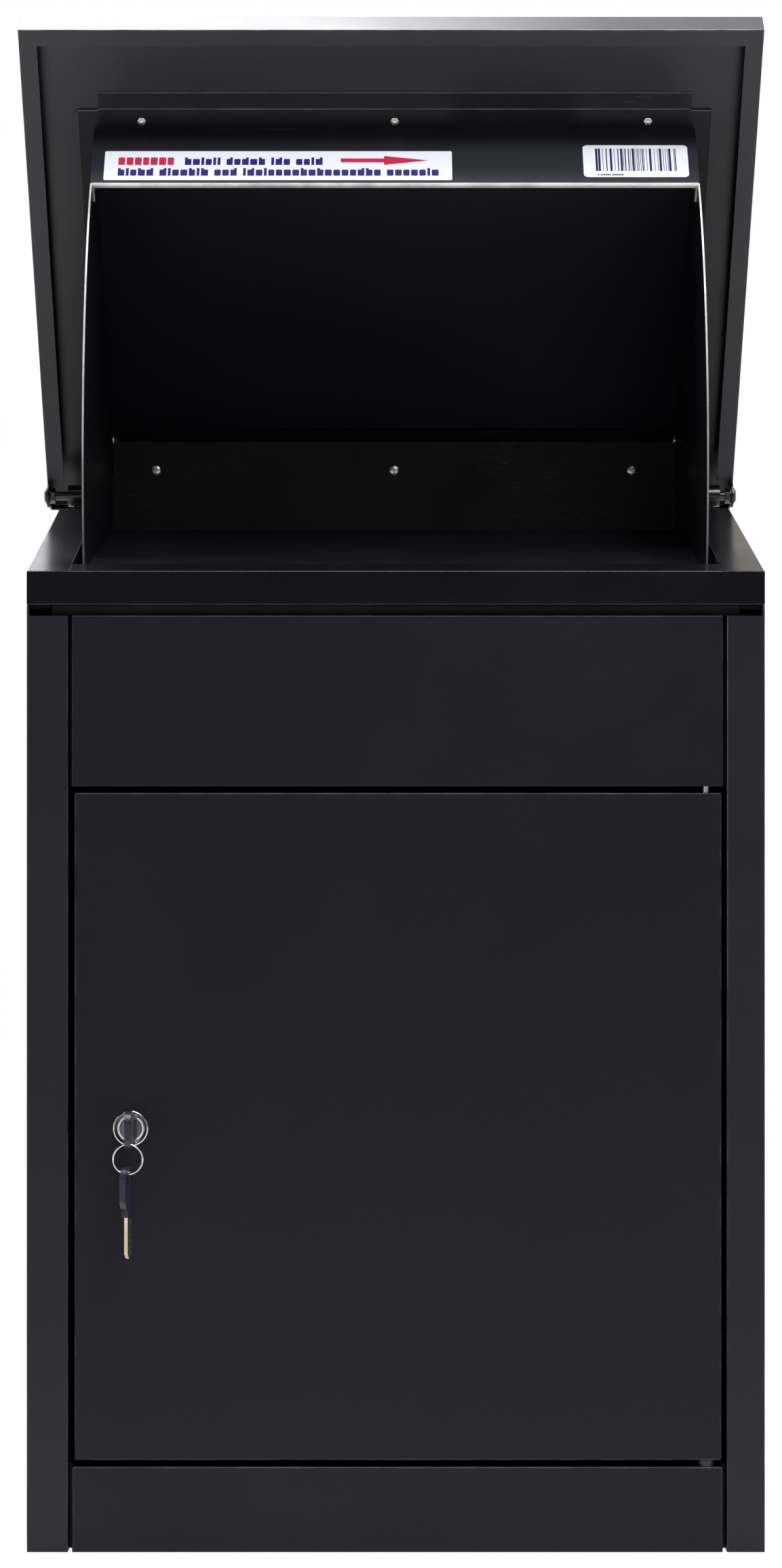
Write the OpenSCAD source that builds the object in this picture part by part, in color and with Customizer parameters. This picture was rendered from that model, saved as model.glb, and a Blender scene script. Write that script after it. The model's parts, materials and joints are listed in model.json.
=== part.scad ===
// Parcel drop box: a floor-standing sheet-steel cabinet with a sloped hood, a tilting drum lid
// and a lockable collection door.
// Frame: +X is the box's right as you face it, +Y is its rear, +Z is up.
// The origin is the centre of the base, on the floor. Millimetres and degrees.

/* [Cabinet] */
// Outside width of the cabinet
body_w = 450; // [420:5:500]
// Outside depth of the cabinet
body_d = 360; // [340:5:400]
// Height of the straight lower box
box_h = 571; // [560:1:600]
// Height of the dark slot between the front panels and the hood
shadow_gap = 6.6; // [3:0.1:8]
// Height of the hood's front band
collar_h = 20.4; // [18:0.1:40]
// Slope of the hood's rim, which rises towards the rear
rim_slope = 13.7; // [12:0.1:15]
// Thickness of the cabinet's sheet
sheet = 1.5; // [1:0.1:2]
// Width of the rim strips on both sides of the mouth
rim_w = 25.5; // [24:0.5:27]
// Depth of the rim strip along the front
front_rim_d = 27.5; // [24:0.5:32]

/* [Front panels] */
// Width of the left front stile
stile_w_left = 25.2; // [24:0.1:27]
// Width of the right front stile
stile_w_right = 23.2; // [22:0.1:26]
// Depth of the folded edges of the stiles, panels and door
fold_d = 15; // [12:0.5:16]
// Height of the fixed lower panel
lower_panel_h = 52; // [45:1:60]
// Height of the door
door_h = 407; // [380:1:407]
// Gap above and below the door
door_gap = 4; // [3:0.5:5]

/* [Lid] */
// Angle of the open lid above the horizontal
lid_open = 49.9; // [40:0.1:50]
// Width of the lid over its side flanges
lid_w = 476; // [472:1:480]
// Length of the lid in front of its pivot
lid_front = 357; // [355:1:362]
// Length of the lid behind its pivot
lid_rear = 24; // [20:1:25]
// Height of the lid's outer face above its pivot
lid_top = 23.3; // [23:0.1:24]
// Depth of the lid's side and front flanges
lid_flange = 17.9; // [17:0.1:18]
// Width of the returned hem inside the flanges
lid_hem = 11.5; // [8:0.5:12]
// Sideways set of the lid on its pivot bolts
lid_shift = -2.6; // [-3:0.1:3]
// Thickness of the lid's and the drum's sheet
thin = 1.2; // [1:0.1:1.5]

/* [Drum] */
// Width of the drum over its side plates
drum_w = 392.6; // [380:0.1:394]
// Radius of the side plates' curved front edges about the pivot
drum_r = 271; // [265:1:272]
// Angle from the lid down to the floor panel's front edge
drum_angle = 65.4; // [60:0.1:66]
// Sideways distance of the outer fixing screws from the middle one
screw_pitch = 165; // [150:1:170]

/* [Lock and keys] */
// Sideways place of the lock
lock_x = -161.5; // [-170:0.5:-155]
// Height of the lock
lock_z = 258.4; // [240:0.1:280]
// Radius of the lock's face
lock_face_r = 10.9; // [10:0.1:12]
// Length of the cam from the lock's axis
cam_len = 48; // [45:1:50]
// Outer radius of the key ring
ring_r = 9.4; // [9:0.1:10]
// Turn of the hanging spare key about the vertical
spare_turn = -13; // [-20:1:20]

/* [Hidden] */
$fn = 64;

powder = [0.13, 0.13, 0.14];
charcoal = [0.18, 0.18, 0.19];
zinc = [0.72, 0.73, 0.75];
brass = [0.78, 0.62, 0.32];
label_white = [0.93, 0.94, 0.95];
nylon = [0.12, 0.12, 0.12];
eps = 0.01;

half_w = body_w / 2;
front_y = -body_d / 2;
back_y = body_d / 2;
hood_z = box_h + shadow_gap;
front_h = hood_z + collar_h;
mouth_x = half_w - rim_w;
ledge_y = 63;
ledge_z = rim_z(ledge_y);
hood_back_h = ledge_z + 13;
seam_flange = 12;
neck_x = half_w - sheet - seam_flange;
neck_y0 = front_y + fold_d + sheet + 0.5;
neck_y1 = back_y - sheet - seam_flange;
neck_lap = 14;
part_gap = 0.3;

// Lid pivot line, in the side view
pivot_y = 155;
pivot_z = 674.4;
pivot_bolt_r = 3;
running_gap = 0.05;
barrel_r = 7.5;
barrel_x0 = 204;
barrel_x1 = 226;
ear_r = 8;
lid_bottom = lid_top - lid_flange;
lid_under = lid_top - thin;
stiffener_t = 0.8;
deck = lid_under - stiffener_t;

// The drum's corners in the lid's own side view: distance forward of the pivot, height above it
drum_x = drum_w / 2;
drum_inner_x = drum_x - thin;
drum_top = deck - thin;
wall_len = 61;
wall_way = [-sin(lid_open), -cos(lid_open)];
wall_top = [30, drum_top];
wall_foot = wall_top + wall_len * wall_way;
toe = [drum_r * cos(drum_angle), -drum_r * sin(drum_angle)];
toe_r = 1.5;
label_head = [277, drum_top];
label_lip = [268, -34.6];
label_tilt = atan2(label_head[0] - label_lip[0], label_head[1] - label_lip[1]);
label_flange = 13.5;
label_strip_d = 12.5;
label_strip_x = 193;
label_t = 0.2;
lip_r = 1.7;
drum_flange_w = 10;
flange_nut_u = 284;
stud_r = 1.5;
stud_len = 1.6;
nut_r = 2.9;
nut_h = 2.4;
back_screw_s = 18.8;
side_screw = [38, 12];
label_rivets = [[264, 8], [259, -24]];
tab_w = 14;
baffle_r = 274;
baffle_angles = [16.2, 34];

// Door, fixed panels and pivots
aperture_x0 = -half_w + stile_w_left;
aperture_x1 = half_w - stile_w_right;
panel_gap = 2.4;
door_x0 = aperture_x0 + 3.9;
door_x1 = aperture_x1 - 3.2;
door_z0 = lower_panel_h + door_gap;
door_z1 = door_z0 + door_h;
upper_panel_z = door_z1 + door_gap;
door_pin_x = 189.6;
door_pin_y = front_y + 6;
door_pin_r = 2;
bush_r = 4;
bush_h = 6;
bush_collar_r = 5;
plug_y = front_y - 2.6;
housing_y1 = front_y + 22;
cam_y = front_y + 26;
cam_t = 2.5;
cam_r = 8;
plug_r = 6.5;
lock_thread_r = 9.4;
key_t = 2.1;
key_w = 8.4;
slot_play = 0.15;
blade_len = 25;
bow_len = 30;
bow_w = 23;
bow_t = 3.8;
bow_corner_r = 7;
bow_hole_w = 5;
bow_hole_len = 18;
bow_hole_edge = 5.5;
bow_y = plug_y - 0.1;
ring_wire = 0.65;
ring_y = bow_y - bow_len + bow_hole_edge;
ring_top_z = lock_z - bow_hole_len / 2 + 1;
ring_z = ring_top_z - ring_r + ring_wire;
spare_z = ring_z - ring_r + ring_wire;
spare_hole_z = spare_z + 1 - bow_hole_w / 2;
spare_bow_z = spare_hole_z + bow_hole_edge - bow_len;
anchor_x = 150;
anchor_y = 110;
anchor_r = 5;

function rim_z(y) = front_h + (y - front_y) * tan(rim_slope);

// A point of the lid's side view as the [y, z] of an outline
function uv(p) = [-p[0], p[1]];

// A sheet in the side view along the line from p to q, with its thickness to the left of that way
module side_strip(p, q, t) {
    run = q - p;
    translate(p) rotate(atan2(run[1], run[0])) square([norm(run), t]);
}

// Extrudes a side-view outline, drawn as [y, z], between two values of X
module across(x0, x1) {
    translate([x0, 0, 0]) rotate([90, 0, 90]) linear_extrude(height = x1 - x0) children();
}

// Moves the lid's own frame, in which +Y points behind the pivot, to its open place
module in_lid() {
    translate([0, pivot_y, pivot_z]) rotate([-lid_open, 0, 0]) children();
}

// Mirrors a right-hand piece to the left
module left_of() {
    mirror([1, 0, 0]) children();
}

module both_sides() {
    children();
    left_of() children();
}

// A box from one corner to the opposite one
module block(low, high) {
    translate(low) cube(high - low);
}

// A cylinder along +X
module rod_x(x0, x1, r) {
    translate([x0, 0, 0]) rotate([0, 90, 0]) cylinder(h = x1 - x0, r = r);
}

// A cylinder along +Y
module rod_y(y0, y1, r) {
    translate([0, y0, 0]) rotate([-90, 0, 0]) cylinder(h = y1 - y0, r = r);
}

// ---------------------------------------------------------------- lower box

module side_panel(stile_w) {
    color(powder) {
        block([half_w - sheet, front_y, 0], [half_w, back_y, hood_z]);
        block([half_w - stile_w, front_y, 0], [half_w - sheet, front_y + sheet, box_h]);
        block(
            [half_w - stile_w, front_y + sheet, 0],
            [half_w - stile_w + sheet, front_y + fold_d, box_h]
        );
        block(
            [neck_x, front_y + fold_d + 4, hood_z - sheet],
            [half_w - sheet, back_y - 2 * sheet, hood_z]
        );
        block(
            [half_w - fold_d, back_y - 2 * sheet, 20],
            [half_w - sheet, back_y - sheet, hood_z]
        );
    }
}

module side_panel_left() {
    left_of() side_panel(stile_w_left);
}

module side_panel_right() {
    side_panel(stile_w_right);
}

module rivet_places() {
    for (side = [-1, 1], i = [0:4])
        translate([side * (half_w - 8), back_y, 60 + i * 115]) children();
}

module back_panel() {
    color(powder) difference() {
        union() {
            block([-half_w + sheet, back_y - sheet, 0], [half_w - sheet, back_y, hood_z]);
            block(
                [-half_w + 20, back_y - sheet - seam_flange, hood_z - sheet],
                [half_w - 20, back_y - sheet, hood_z]
            );
        }
        rivet_places() rod_y(-sheet - eps, eps, 1.6);
    }
}

module back_panel_rivets() {
    color(zinc) rivet_places() {
        rod_y(-sheet, 0, 1.6);
        rod_y(0, 1, 3.2);
    }
}

module base_panel() {
    x1 = half_w - sheet;
    y1 = back_y - 2 * sheet;
    y0 = front_y + fold_d + sheet;
    color(powder) difference() {
        union() {
            block([-x1, y0, 0], [x1, y1, 2]);
            for (side = [-1, 1])
                block(
                    [side > 0 ? x1 - sheet : -x1, y0, 2],
                    [side > 0 ? x1 : -x1 + sheet, y1 - 2, 18]
                );
            block([-x1 + 20, y1 - sheet, 2], [x1 - 20, y1, 18]);
        }
        for (sx = [-1, 1], sy = [-1, 1])
            translate([sx * anchor_x, sy * anchor_y, -1]) cylinder(h = 4, r = anchor_r);
    }
}

// A folded front panel with edges behind the stiles
module front_panel(z0, z1) {
    x0 = aperture_x0 + panel_gap;
    x1 = aperture_x1 - panel_gap;
    y1 = front_y + fold_d;
    block([x0, front_y, z0], [x1, front_y + sheet, z1]);
    block([x0, front_y + sheet, z0], [x0 + sheet, y1, z1]);
    block([x1 - sheet, front_y + sheet, z0], [x1, y1, z1]);
    block([x0 - 10, y1, z0], [x0 + sheet, y1 + sheet, z1]);
    block([x1 - sheet, y1, z0], [x1 + 10, y1 + sheet, z1]);
}

module door_pin_hole(z) {
    translate([door_pin_x, door_pin_y, z]) cylinder(h = sheet + 1, r = door_pin_r);
}

module front_upper_panel() {
    x0 = aperture_x0 + panel_gap;
    x1 = aperture_x1 - panel_gap;
    color(charcoal) difference() {
        union() {
            front_panel(upper_panel_z, box_h);
            block(
                [x0 + sheet, front_y + sheet, upper_panel_z],
                [x1 - sheet, front_y + fold_d, upper_panel_z + sheet]
            );
            block(
                [x0 + sheet, front_y + sheet, box_h - sheet],
                [x1 - sheet, neck_y0, box_h]
            );
        }
        door_pin_hole(upper_panel_z - 0.5);
    }
}

module front_lower_panel() {
    x0 = aperture_x0 + panel_gap;
    x1 = aperture_x1 - panel_gap;
    color(charcoal) difference() {
        union() {
            front_panel(0, lower_panel_h);
            block(
                [x0 + sheet, front_y + sheet, lower_panel_h - sheet],
                [x1 - sheet, front_y + fold_d, lower_panel_h]
            );
        }
        door_pin_hole(lower_panel_h - sheet - 0.5);
    }
}

// The recessed ring that joins the lower box to the hood and closes the dark slot
module neck_frame() {
    z0 = box_h - neck_lap;
    z1 = hood_z + neck_lap;
    color(powder) difference() {
        block([-neck_x, neck_y0, z0], [neck_x, neck_y1, z1]);
        block(
            [-neck_x + sheet, neck_y0 + sheet, z0 - 1],
            [neck_x - sheet, neck_y1 - sheet, z1 + 1]
        );
    }
}

module lock_strike() {
    x0 = aperture_x0 - 12;
    y0 = front_y + fold_d;
    color(zinc) {
        block([x0, y0, lock_z - 22], [aperture_x0 - sheet, y0 + sheet, lock_z + 22]);
        block([x0, y0 + sheet, lock_z - 22], [x0 + sheet, cam_y - 0.5, lock_z + 22]);
        block(
            [x0 + sheet, cam_y - 0.5 - sheet, lock_z - 22],
            [aperture_x0 - 1, cam_y - 0.5, lock_z + 22]
        );
    }
}

module door_pivot_pins() {
    color(zinc) {
        translate([door_pin_x, door_pin_y, door_z1 - bush_h])
            cylinder(h = upper_panel_z + sheet + 6 - door_z1 + bush_h, r = door_pin_r);
        translate([door_pin_x, door_pin_y, lower_panel_h - sheet - 6])
            cylinder(h = door_z0 + bush_h - lower_panel_h + sheet + 6, r = door_pin_r);
    }
}

// ---------------------------------------------------------------- hood

// The side-view band of sheet that lies under the rim's sloped plane between two values of Y
module rim_band(y0, y1, t) {
    polygon([[y0, rim_z(y0)], [y1, rim_z(y1)], [y1, rim_z(y1) - t], [y0, rim_z(y0) - t]]);
}

module hood_front() {
    y1 = front_y + front_rim_d;
    color(powder) {
        block([-half_w, front_y, hood_z], [half_w, front_y + sheet, front_h]);
        across(-mouth_x + part_gap, mouth_x - part_gap) {
            rim_band(front_y + sheet / 2, y1, sheet);
            rim_band(y1 - sheet, y1, seam_flange);
        }
        block(
            [-neck_x, front_y + sheet, hood_z],
            [neck_x, neck_y0, hood_z + sheet]
        );
    }
}

module hood_side() {
    y0 = front_y + sheet;
    color(powder) {
        across(half_w - sheet, half_w)
            polygon([
                [y0, hood_z], [back_y, hood_z], [back_y, ledge_z],
                [ledge_y, ledge_z], [y0, rim_z(y0)]
            ]);
        across(mouth_x, half_w - sheet) {
            rim_band(y0, ledge_y, sheet);
            translate([ledge_y, ledge_z - sheet]) square([back_y - sheet - ledge_y, sheet]);
        }
        across(mouth_x, mouth_x + sheet) {
            rim_band(y0 + 5, ledge_y, seam_flange);
            translate([ledge_y, ledge_z - seam_flange])
                square([back_y - sheet - ledge_y, seam_flange]);
        }
        block(
            [neck_x, neck_y0, hood_z],
            [half_w - sheet, back_y - sheet, hood_z + sheet]
        );
    }
}

module hood_side_left() {
    left_of() hood_side();
}

module hood_side_right() {
    hood_side();
}

module hood_back() {
    x1 = half_w - sheet;
    x2 = mouth_x - part_gap;
    color(powder) {
        block([-x1, back_y - sheet, hood_z], [x1, back_y, ledge_z]);
        block([-x2, back_y - sheet, ledge_z], [x2, back_y, hood_back_h]);
        block([-neck_x, neck_y1, hood_z], [neck_x, back_y - sheet, hood_z + sheet]);
    }
}

// The curved apron close in front of the drum's swinging edge, with a shelf to the front rim
module throat_baffle() {
    x1 = mouth_x - part_gap;
    shelf_z = pivot_z - baffle_r * sin(baffle_angles[0]);
    shelf_y = pivot_y - baffle_r * cos(baffle_angles[0]);
    reach = 2 * baffle_r;
    color(powder) across(-x1, x1) {
        translate([front_y + front_rim_d, shelf_z - thin])
            square([shelf_y - front_y - front_rim_d, thin]);
        translate([pivot_y, pivot_z]) intersection() {
            difference() {
                circle(r = baffle_r + thin, $fn = 180);
                circle(r = baffle_r, $fn = 180);
            }
            polygon([
                [0, 0],
                for (a = baffle_angles) [-reach * cos(a), -reach * sin(a)]
            ]);
        }
    }
}

module block_screw_places() {
    for (dy = [-9, 9]) translate([(barrel_x0 + 222) / 2, pivot_y + dy, ledge_z]) children();
}

module hinge_block() {
    color(powder) difference() {
        union() {
            block([barrel_x0, pivot_y - 13, ledge_z], [222, pivot_y + 13, ledge_z + 4.5]);
            block([barrel_x0, pivot_y - 5, ledge_z + 4.5], [222, pivot_y + 5, pivot_z]);
            translate([0, pivot_y, pivot_z]) rod_x(barrel_x0, barrel_x1, barrel_r);
        }
        translate([0, pivot_y, pivot_z])
            rod_x(barrel_x0 - 1, barrel_x1 + 1, pivot_bolt_r + running_gap);
        block_screw_places() cylinder(h = 6, r = 2);
    }
}

module hinge_block_left() {
    left_of() hinge_block();
}

module hinge_block_right() {
    hinge_block();
}

module hinge_block_screws() {
    color(zinc) both_sides() block_screw_places() {
        cylinder(h = 4.5, r = 2);
        translate([0, 0, 4.5]) cylinder(h = 2, r = 3.2);
    }
}

// ---------------------------------------------------------------- lid

module lid_side_outline() {
    circle(r = ear_r);
    polygon([
        [-lid_front, lid_bottom], [-ear_r, lid_bottom], [-ear_r, 0], [ear_r, 0],
        [lid_rear, 17], [lid_rear, lid_under], [-lid_front, lid_under]
    ]);
}

module lid_skin() {
    x1 = lid_w / 2;
    color(powder) in_lid() translate([lid_shift, 0, 0]) {
        block([-x1, -lid_front, lid_under], [x1, lid_rear, lid_top]);
        block([-x1, -lid_front, lid_bottom], [x1, -lid_front + thin, lid_under]);
        block([-x1, lid_rear - thin, 17], [x1, lid_rear, lid_under]);
        block([-x1, -lid_front, lid_bottom], [x1, -lid_front + lid_hem, lid_bottom + thin]);
        both_sides() {
            difference() {
                across(x1 - thin, x1) lid_side_outline();
                rod_x(x1 - thin - 1, x1 + 1, pivot_bolt_r);
            }
            block([x1 - lid_hem, -lid_front, lid_bottom], [x1, -9, lid_bottom + thin]);
        }
    }
}

module rounded_plate(low, high, r, t) {
    linear_extrude(height = t) {
        translate([low[0] + r, low[1]]) square([high[0] - low[0] - 2 * r, high[1] - low[1]]);
        translate([low[0], low[1] + r]) square([high[0] - low[0], high[1] - low[1] - 2 * r]);
        for (x = [low[0] + r, high[0] - r], y = [low[1] + r, high[1] - r])
            translate([x, y]) circle(r = r);
    }
}

module flange_nut_places() {
    for (i = [-1:1]) translate([i * screw_pitch, -flange_nut_u, drum_top]) children();
}

module lid_stiffener() {
    color(powder) in_lid() difference() {
        translate([lid_shift, 0, deck])
            rounded_plate([-208, -label_head[0] - label_flange], [208, -42], 6, stiffener_t);
        flange_nut_places() cylinder(h = 5, r = stud_r);
    }
}

module back_screw_places() {
    p = wall_top + back_screw_s * wall_way;
    for (i = [-1:1])
        translate([i * screw_pitch, -p[0], p[1]]) rotate([lid_open, 0, 0]) children();
}

// The angle under the lid that carries the drum's upright back panel
module lid_rear_rail() {
    x1 = drum_inner_x - 6;
    top = uv(wall_top - 0.6 * wall_way);
    low = uv(wall_top + 34 * wall_way);
    color(powder) in_lid() difference() {
        across(-x1, x1) {
            side_strip(top, low, thin);
            translate([-wall_top[0] + 0.5, lid_under - thin]) square([38, thin]);
        }
        back_screw_places() rod_y(-1, 5, 2);
    }
}

module pivot_bolt(x_ear) {
    rod_x(barrel_x0 + 3, x_ear, pivot_bolt_r);
    rod_x(x_ear, x_ear + 1, 5.5);
    rod_x(x_ear + 1, x_ear + 1.8, 4.2);
}

module pivot_nut(x_ear) {
    difference() {
        union() {
            rod_x(x_ear - thin - 1, x_ear - thin, 5.8);
            translate([x_ear - thin - 4.4, 0, 0]) rotate([0, 90, 0])
                cylinder(h = 3.4, r = 5.5, $fn = 6);
        }
        rod_x(x_ear - 10, x_ear, pivot_bolt_r);
    }
}

module lid_pivot_bolts() {
    color(zinc) in_lid() {
        pivot_bolt(lid_w / 2 + lid_shift);
        left_of() pivot_bolt(lid_w / 2 - lid_shift);
    }
}

module lid_pivot_nuts() {
    color(zinc) in_lid() {
        pivot_nut(lid_w / 2 + lid_shift);
        left_of() pivot_nut(lid_w / 2 - lid_shift);
    }
}

// ---------------------------------------------------------------- drum

// The part of the side view that a side plate fills: a sector between the lid and the floor panel,
// with its straight front edge behind the label panel
module drum_side_outline() {
    inset = [thin, 0];
    past_toe = toe + 0.2 * (toe - wall_foot);
    intersection() {
        union() {
            circle(r = drum_r, $fn = 180);
            polygon([
                uv(label_head - inset), uv(label_lip - inset),
                [-200, label_lip[1]], [-200, label_head[1]]
            ]);
        }
        polygon([
            uv(wall_top), uv(label_head - inset), uv(label_lip - inset),
            [-drum_r - 20, label_lip[1]], [-drum_r - 20, -drum_r], uv(past_toe),
            uv(wall_foot)
        ]);
    }
}

module drum_side() {
    color(powder) in_lid() difference() {
        union() {
            across(drum_inner_x, drum_x) drum_side_outline();
            block(
                [drum_inner_x, -label_head[0] + thin, drum_top],
                [drum_x + drum_flange_w, -44, deck]
            );
        }
        translate([0, -side_screw[0], side_screw[1]]) rod_x(drum_inner_x - 1, drum_x + 1, 1.9);
        for (p = label_rivets)
            translate([0, -p[0], p[1]]) rod_x(drum_inner_x - 1, drum_x + 1, 1.6);
    }
}

module drum_side_left() {
    left_of() drum_side();
}

module drum_side_right() {
    drum_side();
}

// The front strip of the label panel's flange, which steps up past the stiffener onto the lid
module label_strip(y) {
    block([-label_strip_x, y - thin, drum_top], [label_strip_x, y, deck]);
    block([-label_strip_x, y - label_strip_d, lid_under - thin], [label_strip_x, y, lid_under]);
}

module drum_label_panel() {
    head = uv(label_head);
    lip = uv(label_lip);
    inset = [thin, 0];
    x1 = drum_x + drum_flange_w;
    color(powder) in_lid() difference() {
        union() {
            across(-drum_x, drum_x) polygon([head, lip, lip + inset, head + inset]);
            block([-x1, head[0] - label_flange, drum_top], [x1, head[0] + thin, deck]);
            label_strip(head[0] - label_flange);
            translate([0, lip[0] + 0.8, lip[1]]) rod_x(-drum_inner_x, drum_inner_x, lip_r);
            both_sides() across(drum_inner_x - thin, drum_inner_x)
                polygon([
                    head + inset, lip + inset,
                    lip + inset + [tab_w, 4], head + inset + [tab_w, -4]
                ]);
        }
        flange_nut_places() translate([0, 0, -1]) cylinder(h = 5, r = stud_r);
        both_sides() for (p = label_rivets)
            translate([0, -p[0], p[1]]) rod_x(drum_inner_x - 3, drum_inner_x + 1, 1.6);
    }
}

module drum_back_panel() {
    color(powder) in_lid() difference() {
        union() {
            across(-drum_inner_x, drum_inner_x) {
                side_strip(uv(wall_foot), uv(wall_top - wall_way), thin);
                translate([-wall_top[0] - 11, drum_top]) square([10, deck - drum_top]);
            }
            both_sides() across(drum_inner_x - thin, drum_inner_x)
                polygon([
                    uv(wall_top) + [-2, 0], uv(wall_top) + [-20, 0],
                    uv(wall_top) + [-20, -18], uv(wall_top) + [14, -18]
                ]);
        }
        back_screw_places() rod_y(-3, 1, 2);
        both_sides() translate([0, -side_screw[0], side_screw[1]])
            rod_x(drum_inner_x - 3, drum_inner_x + 1, 1.9);
    }
}

module drum_floor_panel() {
    way = (toe - wall_foot) / norm(toe - wall_foot);
    start = wall_foot + 1.6 * way;
    hem = toe - toe_r * way + toe_r * [-way[1], way[0]];
    color(powder) in_lid() {
        across(-drum_inner_x, drum_inner_x) side_strip(uv(toe - toe_r * way), uv(start), thin);
        translate([0, -hem[0], hem[1]]) rod_x(-drum_inner_x, drum_inner_x, toe_r);
    }
}

module drum_flange_nuts() {
    color(zinc) in_lid() flange_nut_places() {
        cylinder(h = lid_under - drum_top, r = stud_r);
        translate([0, 0, -nut_h]) cylinder(h = nut_h, r = nut_r, $fn = 6);
        translate([0, 0, -nut_h - stud_len]) cylinder(h = stud_len, r = stud_r);
    }
}

module drum_back_screws() {
    color(zinc) in_lid() back_screw_places() {
        rod_y(-thin - 1.6, -thin, 4.2);
        rod_y(-thin, 7, 2);
    }
}

module drum_side_screws() {
    color(zinc) in_lid() both_sides() translate([0, -side_screw[0], side_screw[1]]) {
        rod_x(drum_inner_x - thin - 1.6, drum_inner_x - thin, 3.4);
        rod_x(drum_inner_x - thin, drum_x + 0.8, 1.9);
    }
}

module drum_rivets() {
    color(zinc) in_lid() both_sides() for (p = label_rivets) translate([0, -p[0], p[1]]) {
        rod_x(drum_inner_x - thin, drum_x, 1.6);
        rod_x(drum_x, drum_x + 1, 3);
    }
}

// Puts a label on the label panel's face: X along the panel, Z up from its lip
module on_label_panel() {
    in_lid() translate([0, -label_lip[0], label_lip[1]]) rotate([label_tilt, 0, 0]) children();
}

module notice_label() {
    color(label_white) on_label_panel() block([-188, -label_t, 4], [37, 0, 33]);
}

module barcode_label() {
    color(label_white) on_label_panel() block([122, -label_t, 7], [190, 0, 39]);
}

// ---------------------------------------------------------------- door and lock

module at_lock() {
    translate([lock_x, 0, lock_z]) children();
}

module door_skin() {
    y1 = front_y + fold_d;
    color(charcoal) difference() {
        union() {
            block([door_x0, front_y, door_z0], [door_x1, front_y + sheet, door_z1]);
            for (x = [door_x0, door_x1 - sheet])
                block([x, front_y + sheet, door_z0], [x + sheet, y1, door_z1]);
            for (z = [door_z0, door_z1 - sheet])
                block([door_x0 + sheet, front_y + sheet, z], [door_x1 - sheet, y1, z + sheet]);
            for (x = [door_x0, door_x1 - seam_flange])
                block([x, y1, door_z0], [x + seam_flange, y1 + sheet, door_z1]);
        }
        at_lock() rod_y(front_y - 1, front_y + 3, lock_thread_r);
        translate([door_pin_x, door_pin_y, door_z0 - 1])
            cylinder(h = door_h + 2, r = bush_r);
    }
}

// The lower bush has a collar that carries the door on the lower panel
module door_pivot_bushes() {
    color(nylon) translate([door_pin_x, door_pin_y, 0]) difference() {
        union() {
            for (z = [door_z0, door_z1 - bush_h]) translate([0, 0, z])
                cylinder(h = bush_h, r = bush_r);
            translate([0, 0, lower_panel_h + running_gap])
                cylinder(h = door_gap - running_gap, r = bush_collar_r);
        }
        translate([0, 0, lower_panel_h - 1])
            cylinder(h = door_h + door_gap + 2, r = door_pin_r + running_gap);
    }
}

module door_stiffener() {
    depth = 9;
    half = 18;
    y0 = front_y + sheet;
    color(charcoal) for (z = [[door_z0 + 20, door_z1 - 20]]) {
        block([-half, y0 + depth, z[0]], [half, y0 + depth + thin, z[1]]);
        for (x = [-half, half - thin])
            block([x, y0, z[0]], [x + thin, y0 + depth, z[1]]);
        for (x = [-half - 11, half])
            block([x, y0, z[0]], [x + 11, y0 + thin, z[1]]);
    }
}

module lock_housing() {
    color(zinc) at_lock() difference() {
        union() {
            rod_y(front_y - 1.4, front_y, lock_face_r);
            rod_y(front_y - 2.2, front_y - 1.4, lock_face_r - 0.8);
            rod_y(front_y, housing_y1, lock_thread_r);
        }
        rod_y(front_y - 5, housing_y1 + 1, plug_r + running_gap);
    }
}

module lock_nut() {
    color(zinc) at_lock() difference() {
        translate([0, front_y + sheet, 0]) rotate([-90, 0, 0])
            cylinder(h = 5, r = 13.5, $fn = 6);
        rod_y(front_y, front_y + 10, lock_thread_r);
    }
}

module lock_plug() {
    color(zinc) at_lock() difference() {
        rod_y(plug_y, cam_y, plug_r);
        block(
            [-key_t / 2 - slot_play, plug_y - 1, -key_w / 2 - slot_play],
            [key_t / 2 + slot_play, plug_y + blade_len + 0.4, key_w / 2 + slot_play]
        );
        rod_y(cam_y - 3, cam_y + 1, 2);
    }
}

module lock_cam() {
    color(zinc) at_lock() difference() {
        union() {
            block([-cam_r, cam_y, -cam_len + cam_r], [cam_r, cam_y + cam_t, 0]);
            for (z = [0, -cam_len + cam_r])
                translate([0, 0, z]) rod_y(cam_y, cam_y + cam_t, cam_r);
        }
        rod_y(cam_y - 1, cam_y + 4, 2);
    }
}

module cam_screw() {
    color(zinc) at_lock() {
        rod_y(cam_y - 3, cam_y + cam_t, 2);
        rod_y(cam_y + cam_t, cam_y + cam_t + 2.4, 4);
    }
}

// The plastic head of a key in its own side view: it points along +Y, with its shoulder at 0
module bow_outline() {
    difference() {
        union() {
            translate([-bow_len, -bow_w / 2 + bow_corner_r])
                square([bow_len - 2, bow_w - 2 * bow_corner_r]);
            translate([-bow_len + bow_corner_r, -bow_w / 2])
                square([bow_len - 2 * bow_corner_r - 4, bow_w]);
            for (y = [-bow_len + bow_corner_r, -bow_corner_r - 4], side = [-1, 1])
                translate([y, side * (bow_w / 2 - bow_corner_r)]) circle(r = bow_corner_r);
            translate([-8, -key_w / 2 - 2]) square([8, key_w + 4]);
        }
        translate([-bow_len + bow_hole_edge, 0]) {
            straight = bow_hole_len - bow_hole_w;
            translate([-bow_hole_w / 2, -straight / 2]) square([bow_hole_w, straight]);
            for (side = [-1, 1])
                translate([0, side * straight / 2]) circle(d = bow_hole_w);
        }
    }
}

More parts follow.
